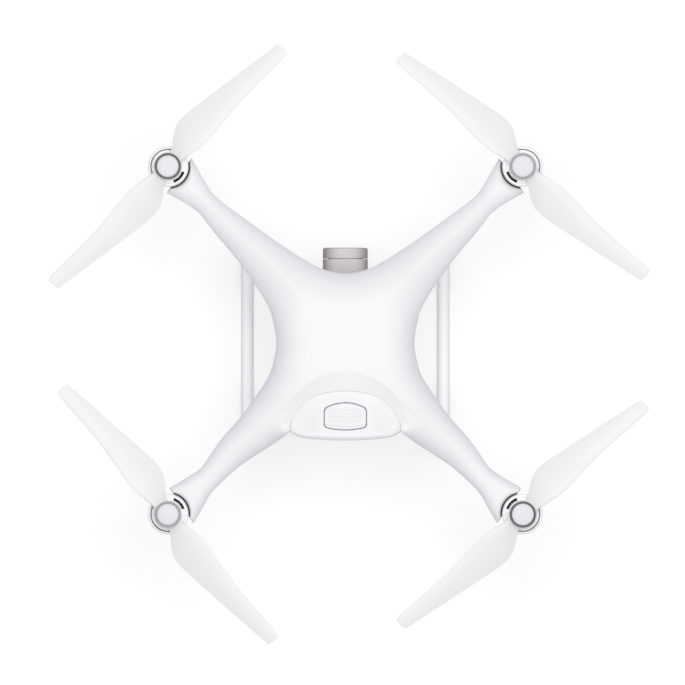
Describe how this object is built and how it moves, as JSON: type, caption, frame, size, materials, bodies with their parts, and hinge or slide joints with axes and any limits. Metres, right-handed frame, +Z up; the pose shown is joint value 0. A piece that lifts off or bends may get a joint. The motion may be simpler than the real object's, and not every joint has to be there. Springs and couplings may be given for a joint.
{
  "type": "quadcopter drone",
  "caption": "Camera quadcopter with a smooth X-shaped shell, two-blade propellers, twin landing skids, a gimbal camera in front and a battery that slides out of the tail.",
  "frame": {"origin": "on the ground under the centre of the airframe, midway between the four motors", "axes": "+Z up, -Y towards the nose and camera, +X towards the aircraft's left side"},
  "size_m": [0.4234, 0.4232, 0.196],
  "materials": {
    "white_shell": "gloss",
    "white_plastic": "satin",
    "propeller": "satin",
    "ring_dark": "satin",
    "ring_grey": "satin",
    "motor_metal": "satin",
    "stator": "satin",
    "steel": "satin",
    "magnesium": "matt",
    "board": "satin",
    "ceramic": "matt",
    "rubber": "matt",
    "dark_lens": "gloss",
    "clear_lens": "gloss",
    "gimbal_metal": "satin",
    "dark_plastic": "satin",
    "contact": "polished",
    "cell": "satin"
  },
  "bodies": {
    "airframe": {"upper_shell": "white_shell", "lower_shell": "white_shell", "chassis": "magnesium", "main_board": "board", "speed_controller_left": "board", "speed_controller_right": "board", "gps_module": "ceramic", "motor_bearings": "steel", "motor_screws": "steel", "shell_screws": "steel", "landing_gear_left": "white_plastic", "landing_gear_right": "white_plastic", "skid_pads": "rubber", "gear_screws": "steel", "leg_antennas": "contact", "front_vision_lenses": "dark_lens", "rear_vision_lenses": "dark_lens", "downward_lenses": "dark_lens", "sonar_sensors": "dark_plastic", "infrared_windows": "dark_lens", "front_lights": "clear_lens", "rear_lights": "clear_lens", "port_panel": "white_plastic", "data_sockets": "steel", "bay_contacts": "dark_plastic", "damper_plate": "dark_plastic", "gimbal_dampers": "rubber", "yaw_motor": "gimbal_metal", "stator_fl": "stator", "stator_fr": "stator", "stator_rl": "stator", "stator_rr": "stator"},
    "gimbal_yaw": {"yaw_arm": "gimbal_metal", "roll_motor": "gimbal_metal"},
    "gimbal_roll": {"roll_arm": "gimbal_metal", "pitch_motor": "gimbal_metal"},
    "camera": {"camera_housing": "gimbal_metal", "lens_barrel": "gimbal_metal", "lens_glass": "dark_lens"},
    "battery": {"battery_case": "white_shell", "battery_cells": "cell", "battery_connector": "dark_plastic", "charge_lights": "clear_lens"},
    "top_latch": {"battery_top_latch": "white_shell"},
    "bottom_latch": {"battery_bottom_latch": "white_shell"},
    "battery_button": {"power_button": "white_plastic"},
    "side_button": {"link_button": "dark_plastic"},
    "motor_fl": {"bell_fl": "motor_metal"},
    "blades_fl": {"propeller_fl": "propeller", "hub_ring_fl": "ring_dark"},
    "motor_fr": {"bell_fr": "motor_metal"},
    "blades_fr": {"propeller_fr": "propeller", "hub_ring_fr": "ring_grey"},
    "motor_rl": {"bell_rl": "motor_metal"},
    "blades_rl": {"propeller_rl": "propeller", "hub_ring_rl": "ring_grey"},
    "motor_rr": {"bell_rr": "motor_metal"},
    "blades_rr": {"propeller_rr": "propeller", "hub_ring_rr": "ring_dark"}
  },
  "joints": [
    {"name": "rotor_fl", "type": "hinge", "parent": "airframe", "child": "motor_fl", "pos_m": [0.1249, -0.1225, 0.168], "axis": [0, 0, 1], "continuous": true},
    {"name": "rotor_fr", "type": "hinge", "parent": "airframe", "child": "motor_fr", "pos_m": [-0.1249, -0.1225, 0.168], "axis": [0, 0, 1], "continuous": true},
    {"name": "rotor_rl", "type": "hinge", "parent": "airframe", "child": "motor_rl", "pos_m": [0.1249, 0.1225, 0.168], "axis": [0, 0, 1], "continuous": true},
    {"name": "rotor_rr", "type": "hinge", "parent": "airframe", "child": "motor_rr", "pos_m": [-0.1249, 0.1225, 0.168], "axis": [0, 0, 1], "continuous": true},
    {"name": "press_fl", "type": "slide", "parent": "motor_fl", "child": "blades_fl", "axis": [0, 0, -1], "range_m": [0, 0.0015], "stiffness_N_per_m": 1500, "springref_m": -0.0004},
    {"name": "press_fr", "type": "slide", "parent": "motor_fr", "child": "blades_fr", "axis": [0, 0, -1], "range_m": [0, 0.0015], "stiffness_N_per_m": 1500, "springref_m": -0.0004},
    {"name": "press_rl", "type": "slide", "parent": "motor_rl", "child": "blades_rl", "axis": [0, 0, -1], "range_m": [0, 0.0015], "stiffness_N_per_m": 1500, "springref_m": -0.0004},
    {"name": "press_rr", "type": "slide", "parent": "motor_rr", "child": "blades_rr", "axis": [0, 0, -1], "range_m": [0, 0.0015], "stiffness_N_per_m": 1500, "springref_m": -0.0004},
    {"name": "gimbal_yaw_turn", "type": "hinge", "parent": "airframe", "child": "gimbal_yaw", "pos_m": [0, -0.035, 0.104], "axis": [0, 0, 1], "range_deg": [-30, 30]},
    {"name": "gimbal_roll_turn", "type": "hinge", "parent": "gimbal_yaw", "child": "gimbal_roll", "pos_m": [0, -0.017, 0.07], "axis": [0, 1, 0], "range_deg": [-30, 30]},
    {"name": "camera_pitch", "type": "hinge", "parent": "gimbal_roll", "child": "camera", "pos_m": [0.02, -0.042, 0.07], "axis": [1, 0, 0], "range_deg": [-30, 90]},
    {"name": "battery_slide", "type": "slide", "parent": "airframe", "child": "battery", "axis": [0, 1, 0], "range_m": [0, 0.12]},
    {"name": "top_latch_press", "type": "slide", "parent": "battery", "child": "top_latch", "axis": [0, 0, -1], "range_m": [0, 0.002], "stiffness_N_per_m": 1200, "springref_m": -0.0005},
    {"name": "bottom_latch_press", "type": "slide", "parent": "battery", "child": "bottom_latch", "axis": [0, 0, 1], "range_m": [0, 0.002], "stiffness_N_per_m": 1200, "springref_m": -0.0005},
    {"name": "battery_button_press", "type": "slide", "parent": "battery", "child": "battery_button", "axis": [0, -1, 0], "range_m": [0, 0.0008], "stiffness_N_per_m": 1500, "springref_m": -0.0003},
    {"name": "side_button_press", "type": "slide", "parent": "airframe", "child": "side_button", "axis": [-1, 0, 0], "range_m": [0, 0.0006], "stiffness_N_per_m": 1000, "springref_m": -0.0003}
  ]
}
